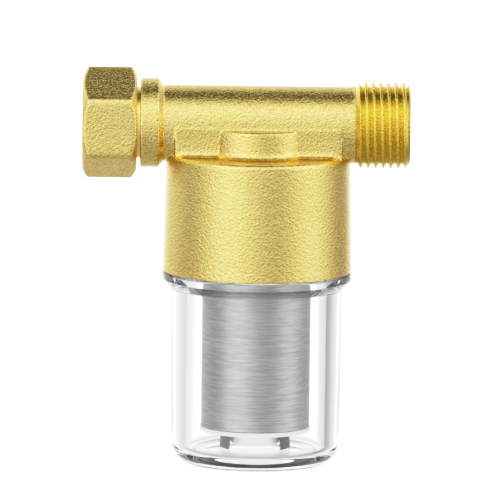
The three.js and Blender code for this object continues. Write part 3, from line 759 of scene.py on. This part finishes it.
floor = bpy.data.objects.new("floor", bpy.data.meshes.new("floor"))
floor.data.from_pydata([(-40, -12, -0.0002), (40, -12, -0.0002), (40, 60, -0.0002), (-40, 60, -0.0002)], [], [(0, 1, 2, 3)])
scene.collection.objects.link(floor)
fm = bpy.data.materials.new("pale_floor")
fm.use_nodes = True
fb = fm.node_tree.nodes["Principled BSDF"]
fb.inputs["Base Color"].default_value = (0.85, 0.85, 0.85, 1)
fb.inputs["Roughness"].default_value = 0.9
fb.inputs["Specular IOR Level"].default_value = 0.0
fb.inputs["Emission Color"].default_value = (1, 1, 1, 1)
fb.inputs["Emission Strength"].default_value = 2.4
floor.data.materials.append(fm)
floor.visible_glossy = False
floor.visible_transmission = False
floor.visible_diffuse = False

floor.visible_shadow = False
glow = bpy.data.objects.new("floor_glow", bpy.data.lights.new("floor_glow", "AREA"))      # light the pale floor sends up
glow.data.shape = "DISK"
glow.data.size = 0.5
glow.data.energy = 2.6
glow.location = (0, 0, -0.25)
glow.rotation_euler = (math.pi, 0, 0)
glow.visible_glossy = False
glow.visible_transmission = False
glow.visible_camera = False
scene.collection.objects.link(glow)

world = bpy.data.worlds.new("studio")
scene.world = world
world.use_nodes = True
wt = world.node_tree
wt.nodes.clear()
wout = wt.nodes.new("ShaderNodeOutputWorld")
bg = wt.nodes.new("ShaderNodeBackground")
wt.links.new(bg.outputs[0], wout.inputs[0])
direction = wt.nodes.new("ShaderNodeTexCoord").outputs["Generated"]
xyz = node(wt, "ShaderNodeSeparateXYZ", {0: direction})
azimuth = maths(wt, "ARCTAN2", xyz.outputs[0], maths(wt, "MULTIPLY", xyz.outputs[1], -1.0))   # 0 is towards the viewer
elevation = maths(wt, "ARCSINE", xyz.outputs[2], 0.0)
az01 = remap(wt, azimuth, -math.pi, math.pi, 0.0, 1.0)
el01 = remap(wt, elevation, -math.pi / 2, math.pi / 2, 0.0, 1.0)


def ramp(value, stops, lo, hi):
    """Piecewise curve through (angle, level) stops; a level may be one number or an RGB triple."""
    n = wt.nodes.new("ShaderNodeValToRGB")
    cr = n.color_ramp
    cr.interpolation = "LINEAR"
    while len(cr.elements) > 1:
        cr.elements.remove(cr.elements[-1])
    for i, (a, level) in enumerate(stops):
        c = (level,) * 3 if not isinstance(level, tuple) else level
        pos = (a - lo) / (hi - lo)
        e = cr.elements[0] if i == 0 else cr.elements.new(pos)
        e.position = pos
        e.color = (*c, 1)
    wt.links.new(value, n.inputs[0])
    return n.outputs[0]


FRONT = [(-90, .52), (-60, .50), (-40, .55), (-30, .62), (-20, .71), (-12, .81), (-8.5, .87), (0, .97), (8, 1.12), (20, 1.30), (30, 1.42), (38, 1.52),
         (46, 1.85), (54, 1.85), (60, 1.65), (66, 1.3), (71, .95), (76, .58), (81, .34), (86, .19), (90, .13)]
BACK = [(-90, .52), (-60, .58), (-40, .66), (-28, 1.1), (-18, 2.1), (-12, 2.7), (-4, 2.7), (2, 2.1), (10, 1.65), (18, 1.4), (28, 1.1), (38, .95), (46, .72),
        (54, .42), (62, .2), (70, .12), (90, .13)]
LEFT = [(-180, 1.9), (-162, 1.9), (-154, 1.5), (-146, 1.1), (-136, .95), (-121, .88), (-112, .74), (-103, .62), (-95, .54), (-88, .53), (-80, .60), (-72, .75), (-64, .98), (-57, 1.25), (-50, 1.5),
        (-42, 1.68), (-34, 1.66), (-26, 1.5), (-18, 1.32), (-10, 1.1), (-3, .93), (0, .87)]
RIGHT = [(0, .87), (4, .82), (11, .71), (18, .63), (26, .61), (33, .66), (40, .78), (48, .97), (56, 1.2), (64, 1.4), (72, 1.5), (80, 1.42), (88, 1.18), (96, .88),
         (104, .64), (112, .48), (120, .42), (130, .42), (139, .55), (146, .74), (153, 1.0), (161, 1.4), (180, 1.5)]
PEAK = 2.0
front = ramp(el01, [(a, v / PEAK) for a, v in FRONT], -90, 90)
back = ramp(el01, [(a, v / PEAK) for a, v in BACK], -90, 90)
around = mix_colour(wt, maths(wt, "GREATER_THAN", azimuth, 0.0), ramp(az01, [(a, v / .87) for a, v in LEFT], -180, 180),
                    ramp(az01, [(a, v / .87) for a, v in RIGHT], -180, 180))


def smoothstep(value, a, b, c, d):
    return node(wt, "ShaderNodeMapRange", {"Value": value, "From Min": math.radians(a), "From Max": math.radians(b), "To Min": c, "To Max": d},
                interpolation_type="SMOOTHSTEP").outputs[0]


near_horizon = smoothstep(maths(wt, "ABSOLUTE", elevation), 30, 62, 1.0, 0.0)
shaped = mix_colour(wt, near_horizon, (1, 1, 1, 1), around)
side = node(wt, "ShaderNodeVectorMath", {0: front, 1: shaped}, operation="MULTIPLY").outputs[0]
to_back = smoothstep(maths(wt, "ABSOLUTE", azimuth), 159, 167, 0.0, 1.0)
above = smoothstep(maths(wt, "ABSOLUTE", azimuth), 70, 125, 0.0, 1.0)          # high up, the back level takes over sooner
high = smoothstep(elevation, 38, 60, 0.0, 1.0)
to_back = maths(wt, "MAXIMUM", to_back, maths(wt, "MULTIPLY", above, high))
# the backdrop is a little lower straight behind
dip = maths(wt, "MULTIPLY", smoothstep(maths(wt, "ABSOLUTE", azimuth), 168, 175, 0.0, 0.2), smoothstep(maths(wt, "ABSOLUTE", elevation), 14, 24, 1.0, 0.0))
straight = maths(wt, "SUBTRACT", 1.0, dip)
back = node(wt, "ShaderNodeVectorMath", {0: back, "Scale": straight}, operation="SCALE").outputs[0]
wt.links.new(mix_colour(wt, to_back, side, back), bg.inputs["Color"])
bg.inputs["Strength"].default_value = 1.05 * PEAK

# Bright parts roll off softly, as a camera shows them
TONE = [(0, 0), (.30, .30), (.55, .55), (.66, .62), (.86, .74), (1.07, .81), (1.3, .87), (1.6, .925), (2.1, 1.0), (2.5, 1.0)]
scene.view_settings.use_curve_mapping = True
tone = scene.view_settings.curve_mapping
tone.white_level = (2.5, 2.5, 2.5)
line = tone.curves[3]
line.points[0].location = (0, 0)
line.points[1].location = (1, 1)
for a, b in TONE[1:-1]:
    line.points.new(a / 2.5, b)
for point in line.points:
    point.handle_type = "VECTOR"
tone.update()

# ------------------------------------------------------------------ camera
ELEV, ROLL = math.radians(8.5), math.radians(0.7)
LENS, SENSOR, WIDTH = 1200.0, 36.0, 0.12107
cam = bpy.data.objects.new("camera", bpy.data.cameras.new("camera"))
scene.collection.objects.link(cam)
cam.data.lens = LENS
cam.data.sensor_width = SENSOR
cam.data.clip_end = 200
dist = WIDTH * LENS / SENSOR
target = Vector((-0.001733, 0.0, PIPE_Z - 0.030897))
look = Vector((0, math.cos(ELEV), -math.sin(ELEV)))
up0 = Vector((0, math.sin(ELEV), math.cos(ELEV)))
right0 = Vector((1, 0, 0))
right = right0 * math.cos(ROLL) + up0 * math.sin(ROLL)
up = up0 * math.cos(ROLL) - right0 * math.sin(ROLL)
rot = Matrix((right, up, -look)).transposed()
cam.matrix_world = Matrix.Translation(target - look * dist) @ rot.to_4x4()
scene.camera = cam
